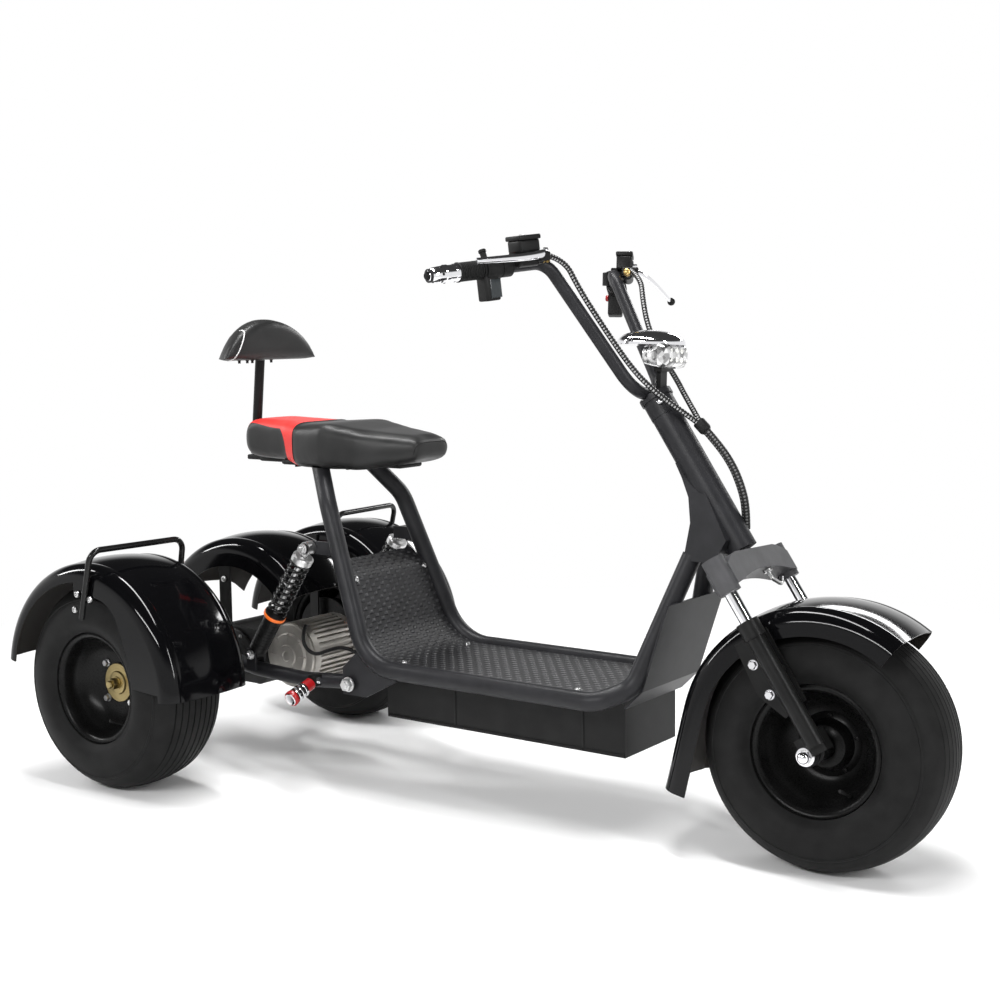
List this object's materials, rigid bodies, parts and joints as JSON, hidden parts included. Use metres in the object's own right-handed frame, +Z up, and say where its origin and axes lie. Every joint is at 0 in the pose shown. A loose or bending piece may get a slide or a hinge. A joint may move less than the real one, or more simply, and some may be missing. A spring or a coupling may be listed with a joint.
{
  "type": "three-wheeled electric scooter",
  "caption": "Electric cargo-style scooter on fat tyres: one steered front wheel, a driven rear pair, low footboard, padded saddle with backrest and a wide handlebar.",
  "frame": {"origin": "on the ground, midway along the length and width", "axes": "+X forward, +Y to the rider's left, +Z up"},
  "size_m": [1.9851, 1.0046, 1.1486],
  "materials": {
    "black_metal": "satin",
    "leather": "satin",
    "chrome": "polished",
    "cable": "woven",
    "fender_black": "gloss",
    "grey_paint": "satin",
    "steel": "brushed",
    "crown_grey": "satin",
    "alloy": "satin",
    "black_rim": "gloss",
    "tyre": "matte",
    "black_rubber": "matte",
    "lens": "clear",
    "black_plastic": "matte",
    "red": "gloss"
  },
  "bodies": {
    "frame": {"axle_housing": "black_metal", "backrest_pad": "leather", "backrest_post": "black_metal", "battery_box": "black_metal", "cable_loom": "cable", "centre_fender": "fender_black", "deck_crossbars": "grey_paint", "fender_rails": "black_metal", "fender_stays": "black_metal", "footboard": "grey_paint", "footpegs": "steel", "gearbox": "alloy", "head_gusset": "grey_paint", "head_tube": "grey_paint", "main_hoop_left": "grey_paint", "main_hoop_right": "grey_paint", "motor": "alloy", "pivot_plates": "grey_paint", "rear_fender_left": "fender_black", "rear_fender_right": "fender_black", "saddle": "leather", "seat_base": "black_plastic", "shock_bodies": "black_metal", "shock_mounts": "black_metal", "shock_rods": "black_metal", "shock_springs": "black_metal", "splash_panel": "grey_paint", "swingarm": "grey_paint", "tail_light": "red"},
    "steering": {"bar_ends": "chrome", "brake_levers": "chrome", "cable_sleeve_left": "cable", "cable_sleeve_right": "cable", "crown_hook": "black_metal", "fork_crown": "crown_grey", "fork_sliders": "black_metal", "front_axle": "chrome", "front_fender": "fender_black", "front_fender_stays": "black_metal", "grips": "black_rubber", "handlebar": "black_metal", "headlight_bracket": "black_metal", "headlight_housing": "black_metal", "headlight_lens": "lens", "headlight_visor": "chrome", "master_cylinders": "black_metal", "stanchions": "chrome", "stem": "black_metal", "switch_pods": "black_plastic"},
    "front_wheel": {"front_hub": "alloy", "front_rim": "black_rim", "front_tyre": "tyre"},
    "rear_right_wheel": {"rear_right_hub": "alloy", "rear_right_rim": "black_rim", "rear_right_tyre": "tyre"},
    "rear_left_wheel": {"rear_left_hub": "alloy", "rear_left_rim": "black_rim", "rear_left_tyre": "tyre"}
  },
  "joints": [
    {"name": "steering_turn", "type": "hinge", "parent": "frame", "child": "steering", "pos_m": [0.50288, 0, 0.69244], "axis": [-0.5514, 0, 0.8343], "range_deg": [-38.5, 27.5], "deforming": ["cable_loom"]},
    {"name": "front_wheel_turn", "type": "hinge", "parent": "steering", "child": "front_wheel", "pos_m": [0.76614, -0.00351, 0.22859], "axis": [-0.0808, 0.9953, -0.0534], "continuous": true},
    {"name": "rear_right_wheel_turn", "type": "hinge", "parent": "frame", "child": "rear_right_wheel", "pos_m": [-0.717, -0.374, 0.2285], "axis": [0, 1, 0], "continuous": true},
    {"name": "rear_left_wheel_turn", "type": "hinge", "parent": "frame", "child": "rear_left_wheel", "pos_m": [-0.717, 0.374, 0.2285], "axis": [0, 1, 0], "continuous": true}
  ]
}
